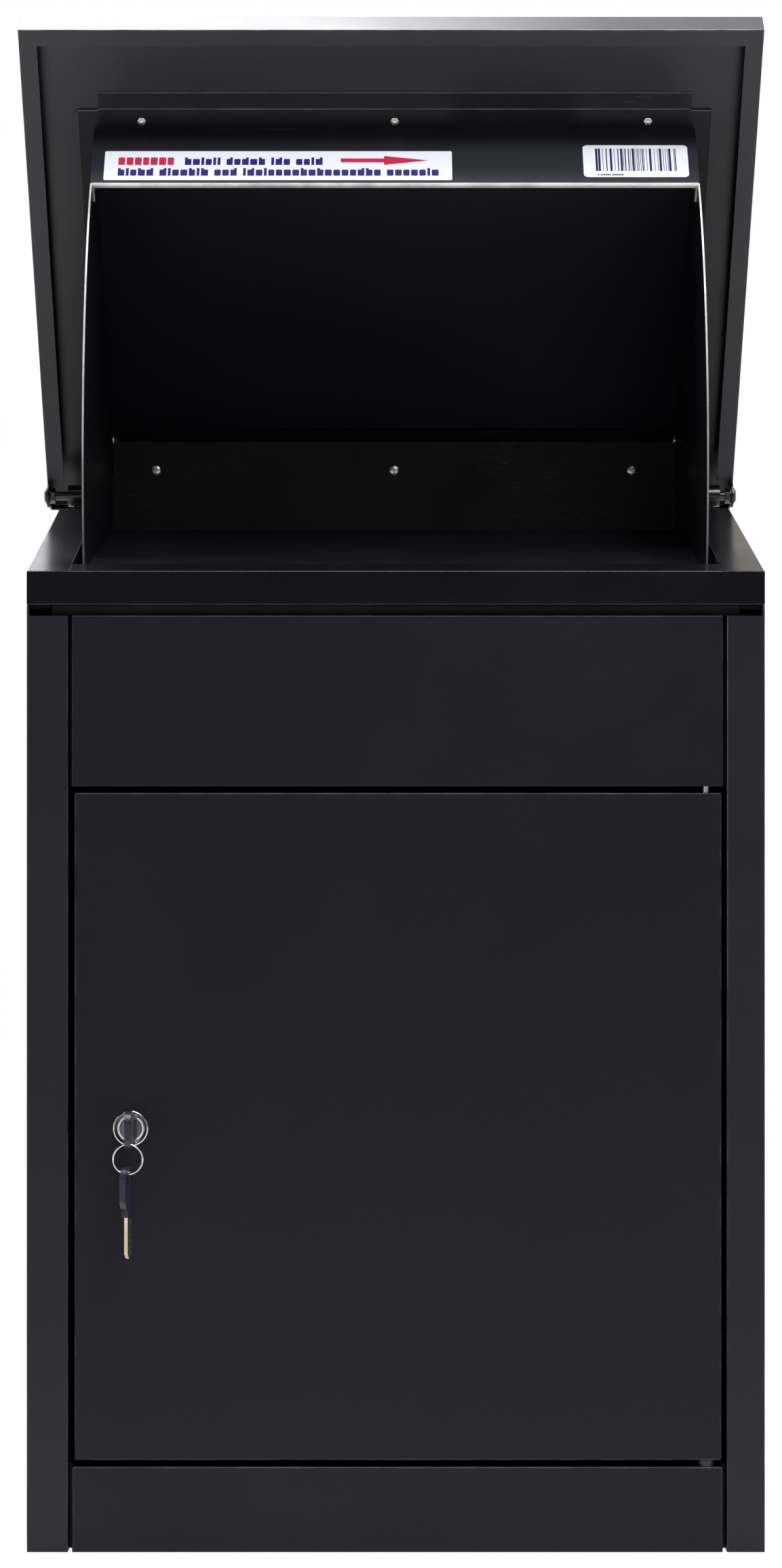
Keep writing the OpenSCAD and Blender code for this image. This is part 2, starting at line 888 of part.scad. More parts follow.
// A blade in the same side view, with the cuts of its bitting along one edge
module blade_outline() {
    difference() {
        union() {
            translate([0, -key_w / 2]) square([blade_len - 3, key_w]);
            polygon([
                [blade_len - 3, -key_w / 2], [blade_len, -key_w / 2 + 3],
                [blade_len - 3, key_w / 2]
            ]);
        }
        for (i = [0:4])
            translate([6 + i * 3.4, key_w / 2 + 0.4 - 0.5 * (i * i % 3)])
                rotate(45) square(2.6, center = true);
    }
}

module key_head() {
    across(-bow_t / 2, bow_t / 2) bow_outline();
}

module key_steel() {
    across(-key_t / 2, key_t / 2) blade_outline();
}

module hang_spare() {
    translate([lock_x, ring_y, spare_bow_z]) rotate([-90, 0, spare_turn]) children();
}

module key_bow() {
    color(nylon) translate([lock_x, bow_y, lock_z]) key_head();
}

module key_blade() {
    color(brass) translate([lock_x, bow_y, lock_z]) key_steel();
}

module key_ring() {
    color(zinc) translate([lock_x, ring_y, ring_z]) rotate([90, 0, 0])
        rotate_extrude() translate([ring_r - ring_wire, 0]) circle(r = ring_wire, $fn = 24);
}

module spare_key_bow() {
    color(nylon) hang_spare() key_head();
}

module spare_key_blade() {
    color(brass) hang_spare() key_steel();
}

side_panel_left();
side_panel_right();
back_panel();
base_panel();
front_upper_panel();
front_lower_panel();
neck_frame();
hood_front();
hood_side_left();
hood_side_right();
hood_back();
throat_baffle();
hinge_block_left();
hinge_block_right();
hinge_block_screws();
door_pivot_pins();
lock_strike();
back_panel_rivets();
lid_skin();
lid_stiffener();
lid_rear_rail();
lid_pivot_bolts();
lid_pivot_nuts();
drum_side_left();
drum_side_right();
drum_label_panel();
drum_back_panel();
drum_floor_panel();
drum_flange_nuts();
drum_back_screws();
drum_side_screws();
drum_rivets();
notice_label();
barcode_label();
door_skin();
door_stiffener();
door_pivot_bushes();
lock_housing();
lock_nut();
lock_plug();
lock_cam();
cam_screw();
key_blade();
key_bow();
key_ring();
spare_key_blade();
spare_key_bow();
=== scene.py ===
"""The looks of the parcel drop box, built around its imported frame. Metres; +Y is its rear."""
import json
import math
import random

import bmesh
import bpy
from mathutils import Matrix, Vector

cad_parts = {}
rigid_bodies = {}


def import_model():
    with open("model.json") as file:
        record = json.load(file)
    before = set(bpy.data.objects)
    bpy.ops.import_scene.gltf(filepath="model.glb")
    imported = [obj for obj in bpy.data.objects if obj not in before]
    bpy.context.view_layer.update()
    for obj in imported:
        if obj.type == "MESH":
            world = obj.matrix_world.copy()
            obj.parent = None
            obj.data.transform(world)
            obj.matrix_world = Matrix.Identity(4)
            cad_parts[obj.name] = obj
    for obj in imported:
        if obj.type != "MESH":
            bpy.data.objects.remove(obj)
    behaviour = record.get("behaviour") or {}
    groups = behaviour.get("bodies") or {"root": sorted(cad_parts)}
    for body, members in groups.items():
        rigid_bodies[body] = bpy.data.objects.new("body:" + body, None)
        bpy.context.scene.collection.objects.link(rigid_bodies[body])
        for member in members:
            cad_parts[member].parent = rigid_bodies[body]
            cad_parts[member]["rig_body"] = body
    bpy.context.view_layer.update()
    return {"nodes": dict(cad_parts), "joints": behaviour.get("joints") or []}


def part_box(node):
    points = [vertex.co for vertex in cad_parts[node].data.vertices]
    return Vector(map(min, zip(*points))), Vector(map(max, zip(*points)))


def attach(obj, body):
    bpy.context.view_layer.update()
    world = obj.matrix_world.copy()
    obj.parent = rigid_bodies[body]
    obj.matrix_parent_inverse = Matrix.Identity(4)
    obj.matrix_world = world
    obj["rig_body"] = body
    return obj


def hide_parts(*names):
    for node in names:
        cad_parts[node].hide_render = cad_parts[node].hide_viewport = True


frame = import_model()

MM = 0.001
WELD = 0.002 * MM
# A light steel grey painted on cut edges as a highlight
EDGE_HIGHLIGHT_GREY = (0.56, 0.55, 0.51)
RUBBED_PAINT = (0.16, 0.16, 0.165)
SCUFFED_PAINT = (0.12, 0.12, 0.125)
JOINTS = {joint["name"]: joint for joint in frame["joints"]}


# ---------------------------------------------------------------- studio

def link(obj):
    bpy.context.scene.collection.objects.link(obj)
    return obj


def make_camera():
    data = bpy.data.cameras.new("camera")
    data.lens = 90.26
    data.sensor_width = 36
    data.shift_x = 0.0069
    data.shift_y = 0.0433
    camera = link(bpy.data.objects.new("camera", data))
    camera.location = (-0.0095, -2.577, 0.427)
    camera.rotation_euler = (math.radians(90), 0, 0)
    bpy.context.scene.camera = camera


def make_world(front, rear_left, rear_right):
    """A white backdrop to look at. What lights and mirrors is dim before the box, bright behind its
    left side and less so behind its right."""
    world = bpy.data.worlds.new("studio")
    world.use_nodes = True
    tree = world.node_tree
    tree.nodes.clear()
    way = add(tree, "ShaderNodeTexCoord").outputs["Generated"]
    axes = add(tree, "ShaderNodeSeparateXYZ", {0: way}).outputs
    rear = remap(tree, axes["X"], -0.07, 0.07, rear_left, rear_right)
    strength = remap(tree, axes["Y"], -0.1, 0.8, front, rear)
    warmth = remap(tree, axes["X"], -0.07, 0.07, 0, 1)
    colour = blend_colour(tree, warmth, (0.95, 0.97, 1), (1, 0.94, 0.86))
    around = add(tree, "ShaderNodeBackground", {"Color": colour, "Strength": strength})
    seen = add(tree, "ShaderNodeBackground", {"Color": (1, 1, 1, 1), "Strength": 1.0})
    rays = add(tree, "ShaderNodeLightPath").outputs["Is Camera Ray"]
    mix = add(tree, "ShaderNodeMixShader", {0: rays, 1: around.outputs[0], 2: seen.outputs[0]})
    output = add(tree, "ShaderNodeOutputWorld")
    tree.links.new(mix.outputs[0], output.inputs["Surface"])
    bpy.context.scene.world = world


def make_softbox(name, place, aim, size, radiance, colour=(1, 1, 1)):
    """A rectangular soft light at place that points at aim. Its panel itself isn't seen."""
    data = bpy.data.lights.new(name, "AREA")
    data.shape = "RECTANGLE"
    data.size, data.size_y = size
    data.energy = radiance * math.pi * size[0] * size[1]
    data.color = colour
    light = link(bpy.data.objects.new(name, data))
    light.location = place
    light.visible_camera = False
    way = Vector(aim) - Vector(place)
    light.rotation_mode = "QUATERNION"
    light.rotation_quaternion = way.to_track_quat("-Z", "Y")


# ---------------------------------------------------------------- materials

def add(tree, kind, inputs=None, **settings):
    """A new node of a tree. An input is a number, a colour or another node's output."""
    node = tree.nodes.new(kind)
    for key, value in settings.items():
        setattr(node, key, value)
    for key, value in (inputs or {}).items():
        if isinstance(value, bpy.types.NodeSocket):
            tree.links.new(value, node.inputs[key])
        else:
            node.inputs[key].default_value = value
    return node


def start_material(name):
    material = bpy.data.materials.new(name)
    material.use_nodes = True
    tree = material.node_tree
    tree.nodes.clear()
    place = add(tree, "ShaderNodeTexCoord").outputs["Object"]
    return material, tree, place


def end_material(tree, shader):
    output = add(tree, "ShaderNodeOutputMaterial")
    tree.links.new(shader.outputs["BSDF"], output.inputs["Surface"])


def noise(tree, place, scale, detail, roughness=0.5):
    inputs = {"Vector": place, "Scale": scale, "Detail": detail, "Roughness": roughness}
    return add(tree, "ShaderNodeTexNoise", inputs).outputs["Fac"]


def remap(tree, value, low, high, to_low, to_high):
    inputs = {"Value": value, 1: low, 2: high, 3: to_low, 4: to_high}
    return add(tree, "ShaderNodeMapRange", inputs).outputs["Result"]


def maths(tree, operation, first, second=0.5, clamp=False):
    node = add(tree, "ShaderNodeMath", {0: first, 1: second}, operation=operation)
    node.use_clamp = clamp
    return node.outputs[0]


def blend_colour(tree, factor, first, second):
    node = add(tree, "ShaderNodeMix", {"Factor": factor}, data_type="RGBA")
    for key, value in (("A", first), ("B", second)):
        socket = [s for s in node.inputs if s.name == key and s.type == "RGBA"][0]
        if isinstance(value, bpy.types.NodeSocket):
            tree.links.new(value, socket)
        else:
            socket.default_value = (*value, 1)
    return [s for s in node.outputs if s.type == "RGBA"][0]


def stretched(tree, place, scale, turn=(0, 0, 0)):
    inputs = {"Vector": place, "Rotation": turn, "Scale": scale}
    return add(tree, "ShaderNodeMapping", inputs).outputs["Vector"]


def powder_coat(name, colour, gloss, specular, grain, speckle, wear=0.5, scuffs=0.0, edge_highlight=0.0):
    """Black powder coat: an orange-peel grain, a fine speckle, rubbed edges and faint scuffs.
    gloss is the lowest and highest roughness over the surface. edge_highlight is how strongly a
    painted highlight, a light steel grey, shows on the sheet's cut edges; it is weaker lower down."""
    material, tree, place = start_material(name)
    peel = noise(tree, place, 620, 3, 0.6)
    speck = noise(tree, place, 1500, 1)
    blotch = noise(tree, place, 9, 4, 0.6)
    edge = add(tree, "ShaderNodeAttribute", attribute_name="edge").outputs["Fac"]
    rubbed_edge = maths(tree, "MULTIPLY", edge, remap(tree, noise(tree, place, 55, 4), 0.4, 0.7, 0, wear))
    light = tuple(min(1, c * 1.9 + 0.002) for c in colour)
    dark = tuple(c * 0.55 for c in colour)
    tone = remap(tree, speck, 0.5 - 0.3 * speckle, 0.5 + 0.3 * speckle, 0, 1)
    base = blend_colour(tree, tone, dark, light)
    base = blend_colour(tree, rubbed_edge, base, RUBBED_PAINT)
    rough = remap(tree, blotch, 0.3, 0.7, gloss[0], gloss[1])
    # The cut edges get a painted highlight: a light steel grey mixed into the coat, weaker lower down
    if edge_highlight:
        cut = add(tree, "ShaderNodeAttribute", attribute_name="cut").outputs["Fac"]
        height = add(tree, "ShaderNodeSeparateXYZ", {0: place}).outputs["Z"]
        highlight_by_height = remap(tree, height, 0.66, 0.82, 0.4 * edge_highlight, edge_highlight)
        edge_highlight_amount = maths(tree, "MULTIPLY", highlight_by_height, remap(tree, noise(tree, place, 38, 3), 0.35, 0.6, 0.6, 1))
        base = blend_colour(tree, maths(tree, "MULTIPLY", cut, edge_highlight_amount), base, EDGE_HIGHLIGHT_GREY)
    if scuffs:
        marks = scratch_mask(tree, place)
        scuffed = maths(tree, "MULTIPLY", marks, scuffs)
        base = blend_colour(tree, scuffed, base, SCUFFED_PAINT)
        rough = maths(tree, "ADD", rough, maths(tree, "MULTIPLY", scuffed, 0.3), clamp=True)
    height = maths(tree, "ADD", peel, maths(tree, "MULTIPLY", noise(tree, place, 190, 2), 0.6))
    bump = add(tree, "ShaderNodeBump", {
        "Strength": 0.35 * grain, "Distance": 0.12 * MM, "Height": height,
    })
    end_material(tree, add(tree, "ShaderNodeBsdfPrincipled", {
        "Base Color": base, "Roughness": rough, "Specular IOR Level": specular,
        "Normal": bump.outputs["Normal"],
    }))
    return material


def scratch_mask(tree, place):
    """Sparse fine scratches: the thin ridges of long noise, kept only in some places."""
    marks = None
    for turn, seed in ((0.35, 0.0), (-0.8, 3.7), (1.25, 8.1)):
        moved = add(tree, "ShaderNodeVectorMath", {0: place, 1: (seed, seed, seed)}, operation="ADD")
        lines = noise(tree, stretched(tree, moved.outputs[0], (1, 24, 24), (turn, turn * 0.6, turn)), 26, 2)
        ridge = maths(tree, "ABSOLUTE", maths(tree, "SUBTRACT", lines, 0.5))
        thin = remap(tree, ridge, 0.0, 0.006, 1, 0)
        where = remap(tree, noise(tree, moved.outputs[0], 11, 1), 0.6, 0.68, 0, 1)
        mark = maths(tree, "MULTIPLY", thin, where)
        marks = mark if marks is None else maths(tree, "MAXIMUM", marks, mark)
    return marks


def plated(name, colour, gloss, tarnish, brushed=0.3):
    """Bare or plated metal with a brushed grain and a patchy tarnish."""
    material, tree, place = start_material(name)
    patches = noise(tree, place, 160, 4, 0.65)
    lines = noise(tree, stretched(tree, place, (9, 1, 1)), 900, 2)
    base = blend_colour(tree, remap(tree, patches, 0.4, 0.75, 0, 1), colour, tarnish)
    rough = maths(tree, "ADD", remap(tree, patches, 0.3, 0.7, gloss[0], gloss[1]),
                  remap(tree, lines, 0.3, 0.7, -0.04, 0.06), clamp=True)
    bump = add(tree, "ShaderNodeBump", {
        "Strength": brushed, "Distance": 0.02 * MM, "Height": lines,
    })
    end_material(tree, add(tree, "ShaderNodeBsdfPrincipled", {
        "Base Color": base, "Metallic": 1.0, "Roughness": rough,
        "Normal": bump.outputs["Normal"],
    }))
    return material


def moulded(name, colour, gloss):
    """Moulded plastic with a fine spark-eroded grain and handling shine."""
    material, tree, place = start_material(name)
    grain = noise(tree, place, 2400, 2)
    shine = noise(tree, place, 120, 3)
    base = blend_colour(tree, shine, tuple(c * 0.7 for c in colour), tuple(c * 1.4 for c in colour))
    bump = add(tree, "ShaderNodeBump", {
        "Strength": 0.4, "Distance": 0.03 * MM, "Height": grain,
    })
    end_material(tree, add(tree, "ShaderNodeBsdfPrincipled", {
        "Base Color": base, "Roughness": remap(tree, shine, 0.3, 0.7, gloss[0], gloss[1]),
        "Normal": bump.outputs["Normal"],
    }))
    return material


def printed(name, colour, gloss):
    """Ink or film of a vinyl label, with a faint unevenness."""
    material, tree, place = start_material(name)
    mottle = noise(tree, place, 700, 3)
    base = blend_colour(tree, mottle, tuple(c * 0.94 for c in colour), colour)
    bump = add(tree, "ShaderNodeBump", {
        "Strength": 0.12, "Distance": 0.03 * MM, "Height": noise(tree, place, 90, 2),
    })
    end_material(tree, add(tree, "ShaderNodeBsdfPrincipled", {
        "Base Color": base, "Roughness": remap(tree, mottle, 0.3, 0.7, gloss, gloss + 0.1),
        "Normal": bump.outputs["Normal"],
    }))
    return material


def pale_floor():
    """Pale matt paper with a painted glow up to the backdrop's white, and a painted pool of extra light
    just in front of the box, which lights the box's lower front.
    """
    material, tree, place = start_material("studio_floor")
    mottle = noise(tree, place, 3, 3)
    base = blend_colour(tree, mottle, (0.9, 0.9, 0.9), (0.93, 0.93, 0.93))
    paper = add(tree, "ShaderNodeBsdfDiffuse", {"Color": base})
    depth = add(tree, "ShaderNodeSeparateXYZ", {0: place}).outputs["Y"]
    in_front = remap(tree, depth, -0.3, -0.05, 1, 0)
    # A painted pool of extra glow on the floor just in front of the box, which lights its lower front
    painted_light_pool = maths(tree, "MULTIPLY", remap(tree, depth, -0.9, -0.4, 0, 0.5), in_front)
    strength = maths(tree, "ADD", painted_light_pool, 1.0)
    glow = add(tree, "ShaderNodeEmission", {"Color": (1, 1, 1, 1), "Strength": strength})
    distance = add(tree, "ShaderNodeVectorMath", {0: place}, operation="LENGTH").outputs["Value"]
    away = remap(tree, distance, 0.35, 1.1, 0.8, 1)
    mix = add(tree, "ShaderNodeMixShader", {0: away, 1: paper.outputs[0], 2: glow.outputs[0]})
    output = add(tree, "ShaderNodeOutputMaterial")
    tree.links.new(mix.outputs[0], output.inputs["Surface"])
    return material


def make_materials():
    return {
        "box_powder_coat": powder_coat(
            "box_powder_coat", (0.0045, 0.0047, 0.0078), (0.36, 0.48), 0.31, 0.4, 0.9,
            wear=0.15),
        "front_powder_coat": powder_coat(
            "front_powder_coat", (0.0036, 0.0038, 0.0070), (0.36, 0.48), 0.21, 0.4, 0.9,
            wear=0.15),
        "hood_powder_coat": powder_coat(
            "hood_powder_coat", (0.0014, 0.0014, 0.0034), (0.16, 0.24), 0.36, 0.2, 0.6,
            wear=0.1),
        "lid_powder_coat": powder_coat(
            "lid_powder_coat", (0.0026, 0.0026, 0.0070), (0.26, 0.36), 0.45, 0.15, 0.6),
        # The drum's coat has a darker base and weaker specular than the box's: painted shade for the inside
        # of the drum under the lid
        "drum_powder_coat": powder_coat(
            "drum_powder_coat", (0.0018, 0.0018, 0.0038), (0.26, 0.40), 0.22, 0.25, 0.4,
            wear=0.6, scuffs=0.5, edge_highlight=1.0),
        "label_panel_coat": powder_coat(
            "label_panel_coat", (0.0018, 0.0018, 0.0060), (0.46, 0.52), 0.5, 0.25, 0.4,
            wear=0.6, scuffs=0.3, edge_highlight=1.0),
        "hinge_black": powder_coat(
            "hinge_black", (0.0030, 0.0030, 0.0040), (0.16, 0.24), 0.5, 0.2, 0.3),
        "zinc_hardware": plated(
            "zinc_hardware", (0.72, 0.73, 0.74), (0.2, 0.36), (0.62, 0.58, 0.48)),
        "lock_chrome": plated(
            "lock_chrome", (0.55, 0.55, 0.58), (0.05, 0.1), (0.45, 0.43, 0.41), 0.01),
        "plug_metal": plated(
            "plug_metal", (0.11, 0.11, 0.13), (0.06, 0.12), (0.08, 0.08, 0.09), 0.01),
        "ring_steel": plated(
            "ring_steel", (0.8, 0.8, 0.8), (0.12, 0.22), (0.66, 0.65, 0.62), 0.15),
        "key_brass": plated(
            "key_brass", (0.86, 0.79, 0.60), (0.2, 0.34), (0.62, 0.52, 0.32)),
        "key_plastic": moulded("key_plastic", (0.012, 0.012, 0.022), (0.26, 0.42)),
        "bush_nylon": moulded("bush_nylon", (0.015, 0.015, 0.016), (0.4, 0.55)),
        "label_stock": printed("label_stock", (0.91, 0.90, 0.93), 0.3),
    }


# ---------------------------------------------------------------- mesh tools

def finish_piece(bm, name, body, slot, replaced, materials=None, sharp=38):
    """Turns a bmesh in the row frame into a piece that rides on a body."""
    mesh = bpy.data.meshes.new(name)
    bmesh.ops.recalc_face_normals(bm, faces=bm.faces)
    bm.to_mesh(mesh)
    bm.free()
    for polygon in mesh.polygons:
        polygon.use_smooth = True
    mesh.set_sharp_from_angle(angle=math.radians(sharp))
    for material in materials or [MATERIALS[slot]]:
        mesh.materials.append(material)
    piece = link(bpy.data.objects.new(name, mesh))
    weighted = piece.modifiers.new("weighted_normals", "WEIGHTED_NORMAL")
    weighted.keep_sharp = True
    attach(piece, body)
    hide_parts(*replaced)


# A sheet's cut face is narrower than this, and the sheets whose cut faces get a painted highlight
CUT_FACE = 1.7 * MM
# An edge is sharp above SHARP, and a bend if the faces beside it are broader than BEND_FACE. Faces that
# meet at less than FLAT lie in one plane
SHARP = math.radians(30)
FLAT = math.radians(4)
BEND_FACE = 3.5 * MM
HIGHLIGHT_EDGED = ["drum_side_left", "drum_side_right", "drum_label_panel"]
# The nodes with flat faces round an opening, which only come soundly through the bevels as triangles
RING_FACED = ["neck_frame", "front_lower_panel", "lid_pivot_nuts"]


def breadth(face):
    """The breadth of a face: its area over its longest edge."""
    return face.calc_area() / max(edge.calc_length() for edge in face.edges)


def is_sharp(edge):
    return len(edge.link_faces) == 2 and edge.calc_face_angle(0) > SHARP


def is_cut(face):
    """Whether a face is a sheet's thin cut face, with no flat neighbour along its long edges."""
    long_edges = [edge for edge in face.edges if edge.calc_length() > CUT_FACE]
    flat = [edge for edge in long_edges if edge.calc_face_angle(0) < FLAT]
    return breadth(face) < CUT_FACE and not flat


def is_bend(edge):
    return is_sharp(edge) and all(breadth(face) > BEND_FACE for face in edge.link_faces)


def round_edges(bm, edges, offset, segments, layer):
    if edges:
        made = bmesh.ops.bevel(
            bm, geom=edges, offset=offset, segments=segments, profile=0.5,
            affect="EDGES", clamp_overlap=True,
        )
        for face in made["faces"]:
            face[layer] = 1.0


def from_node(node):
    """A node's mesh with its shared corners joined and its flat faces whole."""
    bm = bmesh.new()
    bm.from_mesh(frame["nodes"][node].data)
    bmesh.ops.remove_doubles(bm, verts=bm.verts, dist=WELD)
    bmesh.ops.dissolve_limit(
        bm, angle_limit=math.radians(0.4), verts=bm.verts[:], edges=bm.edges[:],
    )
    return bm


def soften(node, body, slot, bend, cut):
    """A node's own shape, rounded where it is bent and deburred where it is cut. The lock plug and the
    label panel's outer face have metals and coats of their own."""
    bm = from_node(node)
    layer = bm.faces.layers.float.new("edge")
    cut_layer = bm.faces.layers.float.new("cut")
    for face in bm.faces:
        face[cut_layer] = 1.0 if node in HIGHLIGHT_EDGED and is_cut(face) else 0.0
    bends = [edge for edge in bm.edges if is_bend(edge)]
    if node in RING_FACED:
        bmesh.ops.triangulate(bm, faces=[face for face in bm.faces if len(face.verts) > 4])
    round_edges(bm, bends, bend, 3, layer)
    round_edges(bm, [edge for edge in bm.edges if is_sharp(edge)], cut, 2, layer)
    materials = [MATERIALS["plug_metal" if node == "lock_plug" else slot]]
    if node == "drum_label_panel":
        materials.append(MATERIALS["label_panel_coat"])
        out = label_matrix().to_3x3() @ Vector((0, 0, 1))
        for face in bm.faces:
            face.material_index = 1 if face.normal.dot(out) > 0.9 else 0
    finish_piece(bm, node + "_folded", body, slot, [node], materials)


# ---------------------------------------------------------------- hardware

def lathe(profile, segments=32):
    """A bmesh turned about +Z from (height, radius) points. Radius 0 closes an end."""
    bm = bmesh.new()
    rings = []
    for height, radius in profile:
        if radius == 0:
            rings.append([bm.verts.new((0, 0, height))])
        else:
            rings.append([
                bm.verts.new((radius * math.cos(a), radius * math.sin(a), height))
                for a in (2 * math.pi * i / segments for i in range(segments))
            ])
    for low, high in zip(rings, rings[1:]):
        for i in range(segments):
            j = (i + 1) % segments
            corners = [low[i % len(low)], low[j % len(low)], high[j % len(high)], high[i % len(high)]]
            bm.faces.new(list(dict.fromkeys(corners)))
    return bm


def dome(radius, height, base=0.0, steps=5):
    """Profile points of a low dome, from its rim to its crown."""
    return [
        (base + height * math.sin(a), radius * math.cos(a))
        for a in (math.pi / 2 * i / steps for i in range(steps))
    ] + [(base + height, 0)]


def prism(outline, low, high):
    """A bmesh of an outline in X and Y between two heights."""
    bm = bmesh.new()
    floor = [bm.verts.new((x, y, low)) for x, y in outline]
    roof = [bm.verts.new((x, y, high)) for x, y in outline]
    bm.faces.new(floor[::-1])
    bm.faces.new(roof)
    for i in range(len(outline)):
        j = (i + 1) % len(outline)
        bm.faces.new([floor[i], floor[j], roof[j], roof[i]])
    return bm


def polygon(radius, sides, turn=0.0):
    return [
        (radius * math.cos(a), radius * math.sin(a))
        for a in (turn + 2 * math.pi * i / sides for i in range(sides))
    ]


def cross(half, arm):
    """The outline of a cross recess: its reach from the middle, and half the width of an arm."""
    corner = [(half, arm), (arm, arm), (arm, half)]
    outline = []
    for turn in range(4):
        for x, y in corner:
            for _ in range(turn):
                x, y = -y, x
            outline.append((x, y))
    return outline


def carve(bm, tool):
    """Cuts one closed bmesh out of another."""
    parts = []
    for label, shape in (("carved", bm), ("tool", tool)):
        bmesh.ops.recalc_face_normals(shape, faces=shape.faces)
        mesh = bpy.data.meshes.new(label)
        shape.to_mesh(mesh)
        shape.free()
        parts.append(link(bpy.data.objects.new(label, mesh)))
    cut = parts[0].modifiers.new("cut", "BOOLEAN")
    cut.operation = "DIFFERENCE"
    cut.solver = "EXACT"
    cut.object = parts[1]
    evaluated = parts[0].evaluated_get(bpy.context.evaluated_depsgraph_get())
    made = bmesh.new()
    made.from_mesh(evaluated.to_mesh())
    evaluated.to_mesh_clear()
    for part in parts:
        bpy.data.objects.remove(part)
    return made


def joined(shapes):
    """Puts several (bmesh, matrix) shapes into one bmesh."""
    whole = bmesh.new()
    for shape, matrix in shapes:
        mesh = bpy.data.meshes.new("part")
        shape.to_mesh(mesh)
        mesh.transform(matrix)
        whole.from_mesh(mesh)
        bpy.data.meshes.remove(mesh)
    return whole


def islands(node):
    """(lowest corner, highest corner) of each separate solid of a node."""
    bm = bmesh.new()
    bm.from_mesh(frame["nodes"][node].data)
    bmesh.ops.remove_doubles(bm, verts=bm.verts, dist=WELD)
    left, boxes = set(bm.verts), []
    while left:
        reached = [left.pop()]
        for vert in reached:
            for edge in vert.link_edges:
                other = edge.other_vert(vert)
                if other in left:
                    left.remove(other)
                    reached.append(other)
        low = Vector(min(v.co[i] for v in reached) for i in range(3))
        high = Vector(max(v.co[i] for v in reached) for i in range(3))
        boxes.append((low, high))
    bm.free()
    return sorted(boxes, key=lambda box: tuple(box[0]))


def facing(origin, way):
    """A matrix that moves a shape's own +Z to a direction, from a point."""
    return Matrix.Translation(origin) @ Vector(way).to_track_quat("Z", "Y").to_matrix().to_4x4()


def pan_head(radius, height, shank_r, shank_len):
    """A pan-head screw with a cross recess. Its seat is at 0 and its head stands on +Z."""
    profile = [(-shank_len, 0), (-shank_len, shank_r * 0.8), (-shank_len + 0.4 * MM, shank_r)]
    profile += [(0, shank_r), (0, radius), (0.35 * height, radius)]
    profile += dome(radius * 0.98, 0.65 * height, 0.35 * height)[1:]
    recess = prism(cross(radius * 0.52, radius * 0.13), height * 0.35, height * 2)
    return carve(lathe(profile), recess)


def dome_rivet(radius, height, shank_r, shank_len):
    profile = [(-shank_len, 0), (-shank_len, shank_r), (0, shank_r), (0, radius)]
    profile += dome(radius, height)
    return lathe(profile, 28)


def cap_screw(radius, height, shank_r, shank_len):
    """A button-head screw with a hexagonal socket."""
    profile = [(-shank_len, 0), (-shank_len, shank_r), (0, shank_r), (0, radius)]
    profile += dome(radius, height, steps=4)
    return carve(lathe(profile), prism(polygon(radius * 0.42, 6), height * 0.3, height * 2))


def stud_nut(radius, height, stud_r, stud_len):
    """A hexagon nut with the rounded end of its stud, which stands stud_len above it."""
    hexagon = prism(polygon(radius, 6), 0, height)
    bmesh.ops.bevel(
        hexagon, geom=hexagon.edges[:], offset=0.3 * MM, segments=2, profile=0.5,
        affect="EDGES", clamp_overlap=True,
    )
    tip = 0.6 * MM
    stud = lathe([(0.2 * MM, 0), (0.2 * MM, stud_r), (height + stud_len - tip, stud_r)]
                 + dome(stud_r, tip, height + stud_len - tip)[1:])
    still = Matrix.Identity(4)
    return joined([(hexagon, still), (stud, still)])


def put_hardware(node, slot, make, way_of, seat_of):
    """Replaces each solid of a node with a detailed piece of hardware, all in one mesh."""
    shapes = []
    for low, high in islands(node):
        middle = (low + high) / 2
        way = way_of(middle)
        shapes.append((make(), facing(seat_of(low, high, middle), way)))
    finish_piece(joined(shapes), node + "_detailed", body_of(node), slot, [node])


def outward(middle):
    return Vector((math.copysign(1, middle.x), 0, 0))


def make_hardware():
    lid_down = in_lid((0, 0, -1)) - in_lid((0, 0, 0))
    put_hardware(
        "drum_back_screws", "zinc_hardware", lambda: pan_head(3.7 * MM, 1.6 * MM, 2 * MM, 8 * MM),
        lambda middle: (0, -1, 0),
        lambda low, high, middle: (middle.x, low.y + 1.6 * MM, middle.z),
    )
    put_hardware(
        "drum_side_screws", "zinc_hardware", lambda: pan_head(3.4 * MM, 1.6 * MM, 1.8 * MM, 3 * MM),
        lambda middle: -outward(middle),
        lambda low, high, middle: (
            (low.x + 1.6 * MM if middle.x > 0 else high.x - 1.6 * MM), middle.y, middle.z),
    )
    put_hardware(
        "drum_rivets", "zinc_hardware", lambda: dome_rivet(3 * MM, 1 * MM, 1.6 * MM, 2.2 * MM),
        outward,
        lambda low, high, middle: (
            (high.x - 1 * MM if middle.x > 0 else low.x + 1 * MM), middle.y, middle.z),
    )
    put_hardware(
        "back_panel_rivets", "zinc_hardware", lambda: dome_rivet(3.2 * MM, 1 * MM, 1.6 * MM, 1.4 * MM),
        lambda middle: (0, 1, 0),
        lambda low, high, middle: (middle.x, high.y - 1 * MM, middle.z),
    )
    put_hardware(
        "hinge_block_screws", "zinc_hardware", lambda: cap_screw(3.2 * MM, 2 * MM, 2 * MM, 4.4 * MM),
        lambda middle: (0, 0, 1),
        lambda low, high, middle: (middle.x, middle.y, high.z - 2 * MM),
    )
    full_length, nut_h, stud_len = 6 * MM, 2.4 * MM, 1.6 * MM
    put_hardware(
        "drum_flange_nuts", "zinc_hardware",
        lambda: stud_nut(2.9 * MM, nut_h, 1.5 * MM, stud_len), lambda middle: lid_down,
        lambda low, high, middle: middle + lid_down * (full_length / 2 - nut_h - stud_len),
    )


